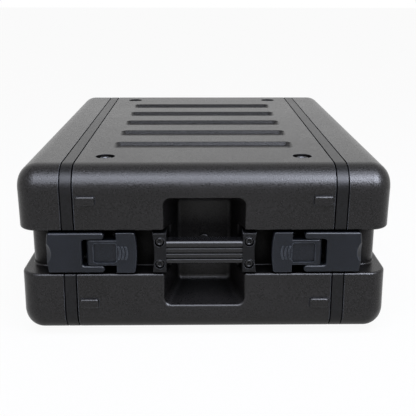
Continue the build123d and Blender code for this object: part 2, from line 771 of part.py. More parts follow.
def lever_panel():
    """Sunk panel in the neck's face."""
    centre = (PANEL_START + PANEL_END) / 2
    face = Pos(centre, 0) * RectangleRounded(PANEL_END - PANEL_START, 2 * PANEL_RISE, LEVER_WALL)
    return on_side(face, LATCH_FACE + 1, PANEL_DEPTH + 1)


def lever_ridges():
    """Curved finger ridges on the lever's head, bowed like its tip."""
    ridges = []
    for i in range(RIDGE_COUNT):
        crest = RIDGE_FIRST + i * RIDGE_PITCH
        hoop = Circle(RIDGE_BOW) - Circle(RIDGE_BOW - RIDGE_WIDTH)
        hoop = Pos(crest + RIDGE_BOW, 0) * hoop & Pos(crest, 0) * Rectangle(RIDGE_BOW, 2 * RIDGE_RISE)
        ridge = on_side(hoop, LATCH_FACE + RIDGE_PROUD, RIDGE_PROUD + LEVER_SKIN / 2)
        ridges.append(ridge)
    return ridges


def hook_line(gap):
    """Contact line of hook and keeper: X at two levels, moved out by a gap."""
    lean = math.tan(math.radians(HOOK_SLOPE))
    top = PIN_LEVEL + 1
    foot = CHANNEL_FLOOR
    return [
        (KEEPER_FACE + gap - (top - KEEPER_FACE_LEVEL) * lean, top),
        (KEEPER_FACE + gap - (foot - KEEPER_FACE_LEVEL) * lean, foot),
    ]


def arm():
    """Moulded arm: prongs round the lever, plate over the seam, hook behind the keeper."""
    length = ARM_END - ARM_TIP
    plan = bowed(ARM_TIP, ARM_END, ARM_BOW)
    plan = fillet(plan.vertices().group_by(Axis.X)[-1], ARM_CORNER)
    inner = LEVER_NECK_RISE + ARM_SIDE_CLEARANCE
    face = plan - Pos(ARM_WINDOW - length / 2, 0) * RectangleRounded(length, 2 * inner, LEVER_WALL)
    face = fillet(face.vertices().group_by(Axis.X)[0], PRONG_ROUND)
    arm_body = on_side(face, LATCH_FACE, ARM_DEPTH)
    outside = [e for e in arm_body.faces().sort_by(Axis.Y)[-1].edges() if is_arm_rim(e)]
    arm_body = fillet(outside, ARM_EDGE)
    arm_body -= block(
        (ARM_WINDOW + ARM_WALL, hook_line(HOOK_GAP)[0][0] - ARM_WALL),
        (LATCH_FACE - ARM_DEPTH - 1, LATCH_FACE - ARM_SKIN),
        (ARM_WALL - LATCH_RISE, LATCH_RISE - ARM_WALL),
    )
    arm_body += hook() & on_side(plan, LATCH_FACE, LATCH_FACE - HOOK_TIP)
    arm_body -= scoop()
    return arm_body - pin_hole(LINK_PIN_X)


def bowed(start, end, bow):
    """Rectangle as high as the latch, from a straight edge to one that bows outward."""
    direction = math.copysign(1, end - start)
    radius = (LATCH_RISE ** 2 + bow ** 2) / (2 * bow)
    face = Pos((start + end) / 2, 0) * Rectangle(abs(end - start), 2 * LATCH_RISE)
    return face & (Pos(end - direction * radius, 0) * Circle(radius))


def is_arm_rim(edge):
    """Whether an edge of the arm's face is on its long sides."""
    middle = edge @ 0.5
    return abs(abs(middle.Z) - LATCH_RISE) < 0.01


def hook():
    """Lip at the arm's end that reaches behind the keeper."""
    (top_x, top), (foot_x, foot) = hook_line(HOOK_GAP)
    lean = (foot_x - top_x) / (top - foot)
    tip_x = top_x + (top - HOOK_TIP) * lean
    corners = [(top_x, top), (ARM_END, top), (ARM_END, HOOK_TIP), (tip_x, HOOK_TIP)]
    lip = make_face(Polyline(*corners, close=True))
    return Pos(0, 0, -HOOK_WIDTH / 2) * extrude(lip, HOOK_WIDTH)


def scoop():
    """Cylinder that takes a lens-shaped bevel off the arm's outer edge."""
    reach = (SCOOP_RADIUS - SCOOP_DEPTH) / math.sqrt(2)
    place = Pos(ARM_END + reach, LATCH_FACE + reach, 0) * Rot(0, 0, 45) * Rot(90, 0, 0)
    return place * Cylinder(SCOOP_RADIUS, SCOOP_LENGTH)


def keeper():
    """Keeper on the lid that the arm's hook draws in."""
    (_, _), (foot_x, foot) = hook_line(0)
    lean = math.tan(math.radians(HOOK_SLOPE))
    face_top = foot_x - (KEEPER_TOP - foot) * lean
    ridge = make_face(
        Polyline(
            (foot_x, foot),
            (face_top, KEEPER_TOP),
            (face_top - KEEPER_RIDGE, KEEPER_TOP),
            (face_top - KEEPER_RIDGE, foot),
            close=True,
        )
    )
    solid = Pos(0, 0, -KEEPER_RIDGE_WIDTH / 2) * extrude(ridge, KEEPER_RIDGE_WIDTH)
    solid += block(
        (KEEPER_START, face_top),
        (CHANNEL_FLOOR, CHANNEL_FLOOR + KEEPER_PLATE),
        (-KEEPER_WIDTH / 2, KEEPER_WIDTH / 2),
    )
    for place in keeper_screw_places():
        solid -= screw_hole(place, KEEPER_SCREW)
    return solid


def keeper_screw_places():
    """Where the screws of a keeper stand."""
    top = CHANNEL_FLOOR + KEEPER_PLATE
    return [facing_out(KEEPER_SCREW_X, top, z) for z in (-KEEPER_SCREW_RISE, KEEPER_SCREW_RISE)]


def keeper_screws():
    """Screws of a keeper."""
    length = KEEPER_PLATE + WALL + KEEPER_SCREW_TAIL
    screw = button_screw(KEEPER_SCREW, KEEPER_SCREW_HEAD, SMALL_HEAD_HEIGHT, length)
    return [place * screw for place in keeper_screw_places()]


# The pieces, each written to its own file

write("body_shell", body_shell())
for end, x_sign in (("front", -1), ("rear", 1)):
    write(f"{end}_collar", corner(collar(), x_sign, 1))
    write(f"{end}_lid", corner(lid(), x_sign, 1))
    write(f"{end}_seal", corner(seal(), x_sign, 1))
    screws = [corner(screw, x_sign, y) for screw in keeper_screws() for y in SIGNS]
    write(f"{end}_keeper_screws", *screws)

write("rail_nuts", *up_and_down(four_sides(rail_nut())))
write("top_screws", *four_sides(top_screw()))
write("rubber_feet", *four_sides(foot()))
write("foot_screws", *four_sides(foot_screw()))

for side, y_sign in (("near", -1), ("far", 1)):
    write(f"{side}_handle_grip", corner(grip(), 1, y_sign))
    write(f"{side}_handle_core", corner(core(), 1, y_sign))

pairs = (-BOLT_LEVEL, BOLT_LEVEL)
write("handle_bolts", *[copy for z in pairs for copy in four_sides(handle_bolt(z))])
write("handle_nuts", *[copy for z in pairs for copy in four_sides(handle_nut(z))])
write("backing_plates", *four_sides(backing_plate()))
write("pocket_plugs", pocket_plug(), mirror(pocket_plug(), about=Plane.XZ))
write("base_screws", *[copy for screw in base_screws() for copy in four_sides(screw)])

pin_reach = LEVER_NECK_RISE - PIN_END_INSET
link_reach = LATCH_RISE - PIN_END_INSET
quarter_pieces = {
    "rail": rail(),
    "bracket": bracket(),
    "latch_base": latch_base(),
    "lever_pin": pin(LEVER_PIN_X, pin_reach),
    "link_pin": pin(LINK_PIN_X, link_reach),
    "latch_lever": lever(),
    "latch_arm": arm(),
    "keeper": keeper(),
}
for end, x_sign in (("front", -1), ("rear", 1)):
    for side, y_sign in (("near", -1), ("far", 1)):
        for name, piece in quarter_pieces.items():
            write(f"{end}_{side}_{name}", corner(piece, x_sign, y_sign))
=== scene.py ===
import math

import bmesh
import bpy
from mathutils import Matrix, Vector


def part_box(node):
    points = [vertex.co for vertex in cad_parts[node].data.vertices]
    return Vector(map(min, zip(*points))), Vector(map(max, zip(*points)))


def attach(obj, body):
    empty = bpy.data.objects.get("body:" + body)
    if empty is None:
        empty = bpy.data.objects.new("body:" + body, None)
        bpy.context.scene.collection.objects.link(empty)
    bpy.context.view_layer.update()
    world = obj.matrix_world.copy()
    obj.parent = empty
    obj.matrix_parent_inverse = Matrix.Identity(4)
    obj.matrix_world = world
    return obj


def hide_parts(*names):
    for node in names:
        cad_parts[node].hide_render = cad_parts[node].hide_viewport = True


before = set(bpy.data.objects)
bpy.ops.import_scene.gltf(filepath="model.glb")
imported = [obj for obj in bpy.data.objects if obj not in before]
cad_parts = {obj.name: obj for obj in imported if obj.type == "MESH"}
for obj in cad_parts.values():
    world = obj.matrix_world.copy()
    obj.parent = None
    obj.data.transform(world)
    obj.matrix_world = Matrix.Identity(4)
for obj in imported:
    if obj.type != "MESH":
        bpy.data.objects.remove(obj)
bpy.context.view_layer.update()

# The body. A tube of black polyethylene with a satin pebbled skin, moulded in one piece with the
# grooves that stacked cases sit in, the screw wells, the bosses and the two handle pockets. Its
# rims are paler, partly with wear and partly with a painted highlight, and its deep recesses are
# painted nearly black as shade.
BODY_BLACK = (0.0044, 0.004, 0.004, 1.0)
# Rim colour, bluish like the lamps' light: partly wear and partly a painted highlight on the edges.
BODY_RIM_WEAR_AND_HIGHLIGHT = (0.085, 0.09, 0.105, 1.0)
BODY_PEBBLE = 620.0
BODY_PEBBLE_HEIGHT = 0.00022
BODY_ROUGHNESS = (0.25, 0.38)
BODY_SPECULAR = 0.27
BODY_RIM = 0.0016


def add(tree, kind, inputs={}, **settings):
    """One node: its settings, and its sockets given as values or as other nodes' outputs."""
    made = tree.nodes.new(kind)
    for name, value in settings.items():
        setattr(made, name, value)
    for name, value in inputs.items():
        socket = made.inputs[name]
        if isinstance(value, bpy.types.NodeSocket):
            tree.links.new(value, socket)
        else:
            socket.default_value = value
    return made


def reckoned(tree, operation, *inputs):
    """The result of one step of arithmetic between sockets and numbers, held between 0 and 1."""
    step = add(tree, "ShaderNodeMath", dict(enumerate(inputs)), operation=operation, use_clamp=True)
    return step.outputs[0]


def ranged(tree, value, low, high):
    """A value spread so that low becomes 0 and high becomes 1."""
    return add(tree, "ShaderNodeMapRange", {"Value": value, "From Min": low, "From Max": high}).outputs[0]


def mixed(tree, share, low, high):
    """A number between two others, by a share from 0 to 1."""
    return add(tree, "ShaderNodeMix", {0: share, 2: low, 3: high}).outputs[0]


def tinted(tree, share, low, high):
    """A colour between two others, by a share from 0 to 1."""
    return add(tree, "ShaderNodeMix", {0: share, 6: low, 7: high}, data_type="RGBA").outputs[2]


def object_place(tree):
    """The point on the piece, in the case's own frame."""
    return add(tree, "ShaderNodeTexCoord").outputs["Object"]


def shader_group(name, takes, gives):
    """An empty shader node group with named inputs and outputs."""
    group = bpy.data.node_groups.new(name, "ShaderNodeTree")
    for label, value in takes.items():
        socket = group.interface.new_socket(label, in_out="INPUT", socket_type="NodeSocketFloat")
        socket.default_value = value
    for label in gives:
        group.interface.new_socket(label, in_out="OUTPUT", socket_type="NodeSocketFloat")
    return group, add(group, "NodeGroupInput").outputs, add(group, "NodeGroupOutput").inputs


# Pebbled skin of a mould: small rounded cells with a grain, and a cloudy tone from the melt.
PEBBLE_ROUNDING = 0.6
GRAIN_IN_HEIGHT = 0.45
GRAIN_IN_TONE = 0.8
CLOUD_SCALE = 11.0
TONE_SPREAD = (0.36, 0.64)

skin, given, result = shader_group("moulded_skin", {"Pebbles": 900.0}, ("Height", "Tone"))
pebbled = {"Vector": object_place(skin), "Scale": given["Pebbles"]}
cells = add(skin, "ShaderNodeTexVoronoi", {**pebbled, "Smoothness": PEBBLE_ROUNDING}, feature="SMOOTH_F1")
grain = add(skin, "ShaderNodeTexNoise", {**pebbled, "Detail": 3.0}).outputs["Fac"]
cloud = add(skin, "ShaderNodeTexNoise", {
    "Vector": object_place(skin), "Scale": CLOUD_SCALE, "Detail": 5.0, "Roughness": 0.6}).outputs["Fac"]
skin.links.new(mixed(skin, GRAIN_IN_HEIGHT, cells.outputs["Distance"], grain), result["Height"])
skin.links.new(ranged(skin, mixed(skin, GRAIN_IN_TONE, cloud, grain), *TONE_SPREAD), result["Tone"])

# Pale rims, where the surface turns within the given reach, partly wear and partly a painted
# highlight; and how open each place is: 1 in the open, 0 in a recess, which the skins use to paint
# shade. The rim colour comes in spots and stays out of the recesses.
RIM_GAIN = 5.0
RECESS_SPREAD = (0.3, 0.7)
RIM_SPOT_SCALE = 130.0
RIM_SPOT_SPREAD = (0.2, 0.52)

wear_highlight_shade, given, result = shader_group("rim_wear_highlight_and_shade", {"Reach": 0.001, "Shelter": 0.03}, ("Rim", "Open"))
bend = add(wear_highlight_shade, "ShaderNodeBevel", {"Radius": given["Reach"]}, samples=6)
flat = add(wear_highlight_shade, "ShaderNodeNewGeometry")
turn = add(wear_highlight_shade, "ShaderNodeVectorMath", {
    0: bend.outputs[0], 1: flat.outputs["Normal"]}, operation="DOT_PRODUCT")
rim = reckoned(wear_highlight_shade, "MULTIPLY", reckoned(wear_highlight_shade, "SUBTRACT", 1.0, turn.outputs["Value"]), RIM_GAIN)
shelter = add(wear_highlight_shade, "ShaderNodeAmbientOcclusion", {"Distance": given["Shelter"]}, samples=8)
opened = ranged(wear_highlight_shade, shelter.outputs["AO"], *RECESS_SPREAD)
spots = add(wear_highlight_shade, "ShaderNodeTexNoise", {
    "Vector": object_place(wear_highlight_shade), "Scale": RIM_SPOT_SCALE, "Detail": 4.0})
broken = ranged(wear_highlight_shade, spots.outputs["Fac"], *RIM_SPOT_SPREAD)
wear_highlight_shade.links.new(reckoned(wear_highlight_shade, "MULTIPLY", reckoned(wear_highlight_shade, "MULTIPLY", rim, opened), broken), result["Rim"])
wear_highlight_shade.links.new(opened, result["Open"])

# How deep and light a skin's tone goes, as shares of its colour, and how much of the white
# floor's reflection is taken out of its recesses by making them metallic, as painted shade.
DEEP_TONE = 0.2
LIGHT_TONE = 3.8
RECESS_ROUGHNESS = 0.5
RECESS_SHADE_METALLIC = 0.95
BUMP_STRENGTH = 0.8


def shaded(colour, share):
    """A colour made darker or lighter by a share."""
    return [min(1.0, channel * share) for channel in colour[:3]] + [1.0]


def finish(name, colour, rim_wear_and_highlight, pebble, pebble_height, roughness, specular, rim,
           shelter=0.05, shade=0.1, metal=0.0):
    """A skinned surface: two tones, pale rims of wear and painted highlight, painted shade in its
    recesses and a pebbled bump.
    """
    material = bpy.data.materials.new(name)
    material.use_nodes = True
    tree = material.node_tree
    shader = tree.nodes["Principled BSDF"]
    surface = add(tree, "ShaderNodeGroup", node_tree=skin)
    surface.inputs["Pebbles"].default_value = pebble
    wear_highlight_shade_node = add(tree, "ShaderNodeGroup", node_tree=wear_highlight_shade)
    wear_highlight_shade_node.inputs["Reach"].default_value = rim
    wear_highlight_shade_node.inputs["Shelter"].default_value = shelter
    tone, open_share = surface.outputs["Tone"], wear_highlight_shade_node.outputs["Open"]
    toned = tinted(tree, tone, shaded(colour, DEEP_TONE), shaded(colour, LIGHT_TONE))
    # Painted shade: the colour darkens towards black where the surface is sheltered.
    recess_painted_shade = tinted(tree, open_share, shaded(colour, shade), toned)
    # Pale rims: partly wear and partly a painted highlight.
    painted = tinted(tree, wear_highlight_shade_node.outputs["Rim"], recess_painted_shade, rim_wear_and_highlight)
    tree.links.new(painted, shader.inputs["Base Color"])
    sheen = add(tree, "ShaderNodeMapRange", {
        "Value": tone, "To Min": roughness[0], "To Max": roughness[1]}).outputs[0]
    tree.links.new(mixed(tree, open_share, RECESS_ROUGHNESS, sheen), shader.inputs["Roughness"])
    bump = add(tree, "ShaderNodeBump", {
        "Height": surface.outputs["Height"], "Strength": BUMP_STRENGTH, "Distance": pebble_height})
    tree.links.new(bump.outputs["Normal"], shader.inputs["Normal"])
    shader.inputs["Specular IOR Level"].default_value = specular
    shader.inputs["Metallic"].default_value = metal
    # Painted shade: recesses turn metallic on their dark colour, so they lose the floor's reflection.
    if not metal:
        recess_shade_share = reckoned(tree, "SUBTRACT", 1.0, open_share)
        tree.links.new(reckoned(tree, "MULTIPLY", recess_shade_share, RECESS_SHADE_METALLIC), shader.inputs["Metallic"])
    return material


def dress(material, *nodes):
    """Gives pieces of the frame their material."""
    for name in nodes:
        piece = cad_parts[name]
        piece.data.materials.clear()
        piece.data.materials.append(material)


body_plastic = finish(
    "body_plastic", BODY_BLACK, BODY_RIM_WEAR_AND_HIGHLIGHT, pebble=BODY_PEBBLE, pebble_height=BODY_PEBBLE_HEIGHT,
    roughness=BODY_ROUGHNESS, specular=BODY_SPECULAR, rim=BODY_RIM)
dress(body_plastic, "body_shell")

# The collars. One hoop at each end between the body and the lid, extruded in a smoother and
# darker plastic, with tongues that key into both.
COLLAR_BLACK = (0.003, 0.003, 0.0033, 1.0)
COLLAR_RUBBED = (0.012, 0.012, 0.013, 1.0)

collar_plastic = finish(
    "collar_plastic", COLLAR_BLACK, COLLAR_RUBBED, pebble=BODY_PEBBLE, pebble_height=0.00008,
    roughness=(0.3, 0.4), specular=0.2, rim=BODY_RIM)
dress(collar_plastic, "front_collar", "rear_collar")

# The lids. Closed ends of the same polyethylene, moulded in their own tool, so their skin is a
# little tighter than the body's. They lift straight off.
LID_ROUGHNESS = (0.24, 0.36)

lid_plastic = finish(
    "lid_plastic", BODY_BLACK, BODY_RIM_WEAR_AND_HIGHLIGHT, pebble=BODY_PEBBLE, pebble_height=BODY_PEBBLE_HEIGHT,
    roughness=LID_ROUGHNESS, specular=BODY_SPECULAR, rim=BODY_RIM)
dress(lid_plastic, "front_lid", "rear_lid")

# The seals. A ring of soft black foam rubber on each lid's edge, nearly without shine, which the
# latches press against the collar.
SEAL_BLACK = (0.004, 0.004, 0.004, 1.0)

seal_rubber = finish(
    "seal_rubber", SEAL_BLACK, SEAL_BLACK, pebble=2600.0, pebble_height=0.0001,
    roughness=(0.75, 0.9), specular=0.2, rim=0.0004, shelter=0.01)
dress(seal_rubber, "front_seal", "rear_seal")

# The rack rails and their nuts. Folded 2 mm steel with a fine black powder coat, and pressed nuts
# of zinc-plated steel that hold them under the top and above the floor.
POWDER_BLACK = (0.016, 0.016, 0.017, 1.0)
POWDER_RUBBED = (0.1, 0.1, 0.105, 1.0)
ZINC = (0.52, 0.53, 0.55, 1.0)
ZINC_RUBBED = (0.7, 0.7, 0.72, 1.0)

rail_coat = finish(
    "rail_powder_coat", POWDER_BLACK, POWDER_RUBBED, pebble=2200.0, pebble_height=0.00012,
    roughness=(0.45, 0.62), specular=0.5, rim=0.0006)
zinc_plate = finish(
    "zinc_plate", ZINC, ZINC_RUBBED, pebble=1600.0, pebble_height=0.00003,
    roughness=(0.28, 0.42), specular=0.5, rim=0.0004, shelter=0.008, shade=0.5, metal=1.0)
corners = [f"{end}_{side}" for end in ("front", "rear") for side in ("near", "far")]
dress(rail_coat, *(f"{corner}_rail" for corner in corners))
dress(zinc_plate, "rail_nuts")

# The rail screws. Four wide-headed screws of black zinc-plated steel, with a raised rim and a
# cross recess, that stand in the wells of the top and draw the rails up against it.
SCREW_HEAD = 0.0075
SCREW_HEAD_HEIGHT = 0.0036
SCREW_DISH = 0.0012
SCREW_CROSS = 0.0036
SCREW_CROSS_WIDTH = 0.0009
SCREW_CROSS_DEPTH = 0.0021
SCREW_CROSS_MOUTH = 0.0007
SCREW_CROSS_EDGE = 0.0002
SCREW_CROSS_TAPER = 0.8
SCREW_SHANK = 0.003
SCREW_LENGTH = 0.0135
SCREW_POINT = 0.001
SCREW_POINT_TAPER = 0.7
SCREW_SIDES = 48
SCREW_BLACK = (0.02, 0.021, 0.024, 1.0)
# Rim colour: partly wear and partly a painted highlight on the head's edges.
SCREW_RIM_WEAR_AND_HIGHLIGHT = (0.16, 0.165, 0.18, 1.0)

# The raised rim, point by point: how far in from the head's edge and how far down from its top.
SCREW_RIM = ((0.0, 0.0012), (0.0003, 0.0004), (0.0011, 0.0), (0.0018, 0.0003), (0.0026, SCREW_DISH))


def turned(name, profile, sides):
    """A closed shape turned about +Z. A profile point is a radius, a height and perhaps a form."""
    mesh = bpy.data.meshes.new(name)
    shape = bmesh.new()
    rings = []
    for radius, level, *form in profile:
        ring = []
        for step in range(sides):
            angle = math.tau * step / sides
            reach = radius * (form[0](angle) if form else 1.0)
            ring.append(shape.verts.new((reach * math.cos(angle), reach * math.sin(angle), level)))
        rings.append(ring)
    for low, high in zip(rings, rings[1:]):
        for step in range(sides):
            follow = (step + 1) % sides
            shape.faces.new((low[step], low[follow], high[follow], high[step]))
    shape.faces.new(rings[0][::-1])
    shape.faces.new(rings[-1])
    bmesh.ops.recalc_face_normals(shape, faces=shape.faces)
    shape.to_mesh(mesh)
    shape.free()
    pattern = bpy.data.objects.new(name, mesh)
    bpy.context.scene.collection.objects.link(pattern)
    return pattern


def cross(angle):
    """Radius of a cross recess at an angle, as a share of its arm's length."""
    along, across = abs(math.cos(angle)), abs(math.sin(angle))
    narrow = SCREW_CROSS_WIDTH / SCREW_CROSS / max(min(along, across), 0.001)
    return min(1.0 / max(along, across), narrow)


def corner_tree(name, both_sides):
    """A geometry tree that sets a fastener at a rectangle's corners, on one or both sides."""
    tree = bpy.data.node_groups.new(name, "GeometryNodeTree")
    kinds = {"Fastener": "Object", "Finish": "Material", "Span": "Float", "Rise": "Float",
             "Tilt": "Vector", "Seat": "Vector"}
    for label, kind in kinds.items():
        tree.interface.new_socket(label, in_out="INPUT", socket_type="NodeSocket" + kind)
    tree.interface.new_socket("Geometry", in_out="OUTPUT", socket_type="NodeSocketGeometry")
    given = add(tree, "NodeGroupInput").outputs
    rectangle = add(tree, "GeometryNodeMeshGrid", {
        "Size X": given["Span"], "Size Y": given["Rise"], "Vertices X": 2, "Vertices Y": 2})
    one = add(tree, "GeometryNodeObjectInfo", {"Object": given["Fastener"]})
    placed = add(tree, "GeometryNodeInstanceOnPoints", {
        "Points": rectangle.outputs["Mesh"], "Instance": one.outputs["Geometry"]})
    seated = add(tree, "GeometryNodeTransform", {
        "Geometry": placed.outputs["Instances"], "Rotation": given["Tilt"], "Translation": given["Seat"]})
    gathered = add(tree, "GeometryNodeJoinGeometry", {0: seated.outputs["Geometry"]})
    if both_sides:
        other = add(tree, "GeometryNodeTransform", {
            "Geometry": seated.outputs["Geometry"], "Rotation": (0.0, 0.0, math.pi)})
        tree.links.new(other.outputs["Geometry"], gathered.inputs[0])
    real = add(tree, "GeometryNodeRealizeInstances", {"Geometry": gathered.outputs[0]})
    coated = add(tree, "GeometryNodeSetMaterial", {
        "Geometry": real.outputs[0], "Material": given["Finish"]})
    tree.links.new(coated.outputs[0], add(tree, "NodeGroupOutput").inputs[0])
    return tree


def settled(name, tree, inputs, material_slot, body, *nodes):
    """Runs a geometry tree, keeps its result as a plain piece, and puts it in the nodes' place."""
    host = bpy.data.objects.new(name + "_tree", bpy.data.meshes.new(name + "_tree"))
    bpy.context.scene.collection.objects.link(host)
    modifier = host.modifiers.new("rows", "NODES")
    modifier.node_group = tree
    for item in tree.interface.items_tree:
        if item.item_type == "SOCKET" and item.in_out == "INPUT":
            modifier[item.identifier] = inputs[item.name]
    seen = bpy.context.evaluated_depsgraph_get()
    mesh = bpy.data.meshes.new_from_object(host.evaluated_get(seen), depsgraph=seen)
    piece = bpy.data.objects.new(name, mesh)
    bpy.context.scene.collection.objects.link(piece)
    bpy.data.objects.remove(host)
    bpy.data.objects.remove(inputs["Fastener"])
    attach(piece, body)
    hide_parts(*nodes)


screw_zinc = finish(
    "screw_black_zinc", SCREW_BLACK, SCREW_RIM_WEAR_AND_HIGHLIGHT, pebble=1800.0, pebble_height=0.00004,
    roughness=(0.2, 0.34), specular=0.8, rim=0.0005, shelter=0.003, shade=0.4, metal=0.3)
dish = SCREW_HEAD_HEIGHT - SCREW_DISH
rail_screw = turned("rail_screw", [
    (SCREW_SHANK * SCREW_POINT_TAPER, -SCREW_LENGTH),
    (SCREW_SHANK, SCREW_POINT - SCREW_LENGTH),
    (SCREW_SHANK, 0.0),
    (SCREW_HEAD, 0.0),
    *((SCREW_HEAD - inward, SCREW_HEAD_HEIGHT - down) for inward, down in SCREW_RIM),
    (SCREW_CROSS + SCREW_CROSS_MOUTH, dish),
    (SCREW_CROSS, dish - SCREW_CROSS_EDGE, cross),
    (SCREW_CROSS * SCREW_CROSS_TAPER, SCREW_HEAD_HEIGHT - SCREW_CROSS_DEPTH, cross)], SCREW_SIDES)
low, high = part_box("top_screws")
settled("top_screw_set", corner_tree("screw_corners", both_sides=False), {
    "Fastener": rail_screw, "Finish": screw_zinc,
    "Span": high.x - low.x - 2 * SCREW_HEAD, "Rise": high.y - low.y - 2 * SCREW_HEAD,
    "Tilt": (0.0, 0.0, 0.0), "Seat": (0.0, 0.0, high.z - SCREW_HEAD_HEIGHT)},
    "screw_steel", "case_body", "top_screws")

# The feet. Four round feet of matt rubber pressed into the wells of the floor, each held by a
# screw through its middle. Like screws hold the latch bases and the keepers.
FOOT_BLACK = (0.011, 0.011, 0.011, 1.0)
FOOT_DUSTY = (0.05, 0.048, 0.045, 1.0)

foot_rubber = finish(
    "foot_rubber", FOOT_BLACK, FOOT_DUSTY, pebble=1500.0, pebble_height=0.00015,
    roughness=(0.7, 0.86), specular=0.3, rim=0.0008)
dress(foot_rubber, "rubber_feet")
dress(screw_zinc, "foot_screws", "base_screws", "front_keeper_screws", "rear_keeper_screws")

# The handles. Two die-cast brackets on each side carry a steel core with a ribbed rubber grip.
# The castings have a coarse black coat that is rubbed through along the top edges.
BRACKET_BLACK = (0.0035, 0.0035, 0.0037, 1.0)
BRACKET_RUBBED = (0.17, 0.175, 0.19, 1.0)
GRIP_BLACK = (0.0035, 0.0035, 0.004, 1.0)
GRIP_RUBBED = (0.045, 0.046, 0.052, 1.0)

bracket_coat = finish(
    "bracket_coat", BRACKET_BLACK, BRACKET_RUBBED, pebble=1100.0, pebble_height=0.00045,
    roughness=(0.32, 0.55), specular=0.12, rim=0.0009, shelter=0.01)
grip_rubber = finish(
    "grip_rubber", GRIP_BLACK, GRIP_RUBBED, pebble=2400.0, pebble_height=0.00006,
    roughness=(0.2, 0.3), specular=0.34, rim=0.0008, shelter=0.012)
dress(bracket_coat, *(f"{corner}_bracket" for corner in corners))
dress(grip_rubber, "near_handle_grip", "far_handle_grip")
dress(zinc_plate, "near_handle_core", "far_handle_core", "handle_nuts", "backing_plates")

# The handle bolts. Eight socket-headed steel bolts, blacked with oxide, two deep in the pockets of
# each bracket. They go through the wall into the nuts behind the backing plate.
BOLT_HEAD = 0.0048
BOLT_HEAD_HEIGHT = 0.0056
BOLT_HEAD_FOOT = (0.0003, 0.0004)
BOLT_SOCKET = 0.0025
BOLT_SOCKET_DEPTH = 0.003
BOLT_SOCKET_MOUTH = 0.0006
BOLT_SOCKET_EDGE = 0.0003
BOLT_DRILL_POINT = 0.0008
BOLT_DRILL_DEPTH = 0.0006
BOLT_SHANK = 0.003
BOLT_LENGTH = 0.0378
BOLT_POINT = 0.0006
BOLT_POINT_TAPER = 0.8
BOLT_SEAT = 0.0066
BOLT_SIDES = 48
BOLT_BLACK = (0.003, 0.003, 0.0034, 1.0)
# Rim colour: partly wear and partly a painted glint on the head's edges.
BOLT_RIM_WEAR_AND_HIGHLIGHT = (0.03, 0.032, 0.036, 1.0)

# The rounded edge, point by point: how far in from the head's side and how far down from its top.
BOLT_EDGE = ((0.0, 0.0009), (0.0003, 0.0003), (0.0009, 0.0))


def hexagon(angle):
    """Radius of a hexagon at an angle, as a share of its half width across flats."""
    sixth = math.tau / 6
    return 1.0 / math.cos((angle % sixth) - sixth / 2)


bolt_oxide = finish(
    "bolt_black_oxide", BOLT_BLACK, BOLT_RIM_WEAR_AND_HIGHLIGHT, pebble=1500.0, pebble_height=0.00003,
    roughness=(0.14, 0.24), specular=0.3, rim=0.0004, shelter=0.004, shade=0.25)
socket_floor = BOLT_HEAD_HEIGHT - BOLT_SOCKET_DEPTH
handle_bolt = turned("handle_bolt", [
    (BOLT_SHANK * BOLT_POINT_TAPER, -BOLT_LENGTH),
    (BOLT_SHANK, BOLT_POINT - BOLT_LENGTH),
    (BOLT_SHANK, 0.0),
    (BOLT_HEAD - BOLT_HEAD_FOOT[0], 0.0),
    (BOLT_HEAD, BOLT_HEAD_FOOT[1]),
    *((BOLT_HEAD - inward, BOLT_HEAD_HEIGHT - down) for inward, down in BOLT_EDGE),
    (BOLT_SOCKET + BOLT_SOCKET_MOUTH, BOLT_HEAD_HEIGHT),
    (BOLT_SOCKET, BOLT_HEAD_HEIGHT - BOLT_SOCKET_EDGE, hexagon),
    (BOLT_SOCKET, socket_floor, hexagon),
    (BOLT_DRILL_POINT, socket_floor - BOLT_DRILL_DEPTH)], BOLT_SIDES)
low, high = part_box("handle_bolts")
bracket_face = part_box("rear_near_bracket")[0].y
settled("handle_bolt_set", corner_tree("bolt_corners", both_sides=True), {
    "Fastener": handle_bolt, "Finish": bolt_oxide,
    "Span": high.x - low.x - 2 * BOLT_HEAD, "Rise": high.z - low.z - 2 * BOLT_HEAD,
    "Tilt": (math.pi / 2, 0.0, 0.0), "Seat": (0.0, bracket_face + BOLT_SEAT, (low.z + high.z) / 2)},
    "bolt_steel", "case_body", "handle_bolts")

# The pocket plugs. A smooth button of black plastic, pressed into the tool hole in the back wall of
# each handle pocket.
PLUG_BLACK = (0.006, 0.006, 0.0065, 1.0)

plug_plastic = finish(
    "plug_plastic", PLUG_BLACK, BODY_RIM_WEAR_AND_HIGHLIGHT, pebble=1500.0, pebble_height=0.00003,
    roughness=(0.25, 0.35), specular=0.4, rim=0.0005)
dress(plug_plastic, "pocket_plugs")

# The latch bases and keepers. Moulded in black glass-filled plastic and screwed to the channel's
# floor, the base on the body and the keeper on the lid. The pins of the latches are bright zinc.
BASE_BLACK = (0.008, 0.008, 0.0085, 1.0)

base_plastic = finish(
    "base_plastic", BASE_BLACK, BODY_RIM_WEAR_AND_HIGHLIGHT, pebble=1300.0, pebble_height=0.0001,
    roughness=(0.4, 0.52), specular=0.35, rim=0.0006)
for corner in corners:
    dress(base_plastic, f"{corner}_latch_base", f"{corner}_keeper")
    dress(zinc_plate, f"{corner}_lever_pin", f"{corner}_link_pin")

# The latch levers and arms. Smooth slate-grey nylon, a shade paler than the case, with soft
# bevels, three thumb ridges and a sunk panel. The rims are paler, partly polished by use and
# partly a painted highlight.
SLATE = (0.006, 0.0072, 0.0098, 1.0)
# Rim colour: partly polish from use and partly a painted highlight on the bevels.
SLATE_RIM_WEAR_AND_HIGHLIGHT = (0.13, 0.145, 0.17, 1.0)

